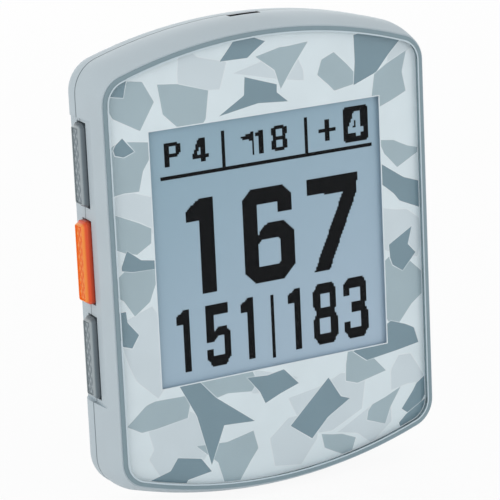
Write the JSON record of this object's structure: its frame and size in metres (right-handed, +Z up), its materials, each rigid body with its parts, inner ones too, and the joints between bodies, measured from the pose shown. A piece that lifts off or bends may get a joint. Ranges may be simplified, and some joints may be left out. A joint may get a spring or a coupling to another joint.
{
  "type": "handheld golf gps unit",
  "caption": "Slim handheld golf distance unit: square display behind a printed lens, side buttons, magnet pad and charging contacts on the back.",
  "frame": {"origin": "centre of the magnet pad's outer face, on the back of the unit", "axes": "+Z up the display as it is read, +Y out of the back, +X to the right as the display is read"},
  "size_m": [0.0602, 0.0136, 0.0774],
  "materials": {
    "case_satin": "satin light blue-grey moulded polycarbonate",
    "seal_elastomer": "moulded silicone",
    "screw_steel": "zinc plated",
    "insert_brass": "knurled brass",
    "lens_clear": "hard coated clear lens",
    "lens_band": "satin grey-blue elastomer",
    "film_print": "printed grey-blue splinter pattern",
    "adhesive": "double sided foam tape",
    "foam": "closed cell foam",
    "display_glass": "reflective display with dark segments",
    "tray_plastic": "moulded white plastic",
    "ribbon_film": "amber polyimide",
    "connector_plastic": "moulded black plastic",
    "board_laminate": "green solder mask",
    "chip_epoxy": "black moulded epoxy",
    "shield_tin": "tinned steel",
    "antenna_ceramic": "fired ceramic",
    "mesh_steel": "woven steel mesh",
    "battery_foil": "laminated pouch",
    "tab_nickel": "nickel strip",
    "contact_gold": "gold plated",
    "magnet_nickel": "nickel plated",
    "pad_rubber": "soft grip pad",
    "button_grey": "diamond textured grey",
    "button_orange": "diamond textured orange"
  },
  "bodies": {
    "housing": {"front_frame": "case_satin", "rear_cover": "case_satin", "perimeter_seal": "seal_elastomer", "case_screws": "screw_steel", "threaded_inserts": "insert_brass", "board_screws": "screw_steel", "cover_lens": "lens_clear", "lens_seal": "lens_band", "printed_film": "film_print", "lens_adhesive": "adhesive", "display_gasket": "foam", "display_panel": "display_glass", "display_tray": "tray_plastic", "display_ribbon": "ribbon_film", "ribbon_connector": "connector_plastic", "main_board": "board_laminate", "processor": "chip_epoxy", "memory_chip": "chip_epoxy", "radio_shield": "shield_tin", "battery_connector": "connector_plastic", "gps_antenna": "antenna_ceramic", "antenna_plate": "shield_tin", "sounder": "chip_epoxy", "sounder_mesh": "mesh_steel", "battery": "battery_foil", "battery_cushion": "foam", "battery_tape": "adhesive", "battery_tabs": "tab_nickel", "contact_block": "connector_plastic", "contact_pins": "contact_gold", "magnets": "magnet_nickel", "magnet_pad": "pad_rubber", "keypad_strip": "seal_elastomer", "upper_switch": "connector_plastic", "select_switch": "connector_plastic", "lower_switch": "connector_plastic"},
    "upper_button_body": {"upper_button": "button_grey", "upper_boot": "seal_elastomer", "upper_plunger": "connector_plastic"},
    "select_button_body": {"select_button": "button_orange", "select_boot": "seal_elastomer", "select_plunger": "connector_plastic"},
    "lower_button_body": {"lower_button": "button_grey", "lower_boot": "seal_elastomer", "lower_plunger": "connector_plastic"}
  },
  "joints": [
    {"name": "upper_button_press", "type": "slide", "parent": "housing", "child": "upper_button_body", "axis": [1, 0, 0], "range_m": [0, 0.0005], "stiffness_N_per_m": 1500, "springref_m": -0.0005, "deforming": ["upper_boot"]},
    {"name": "select_button_press", "type": "slide", "parent": "housing", "child": "select_button_body", "axis": [1, 0, 0], "range_m": [0, 0.0005], "stiffness_N_per_m": 1500, "springref_m": -0.0005, "deforming": ["select_boot"]},
    {"name": "lower_button_press", "type": "slide", "parent": "housing", "child": "lower_button_body", "axis": [1, 0, 0], "range_m": [0, 0.0005], "stiffness_N_per_m": 1500, "springref_m": -0.0005, "deforming": ["lower_boot"]}
  ]
}
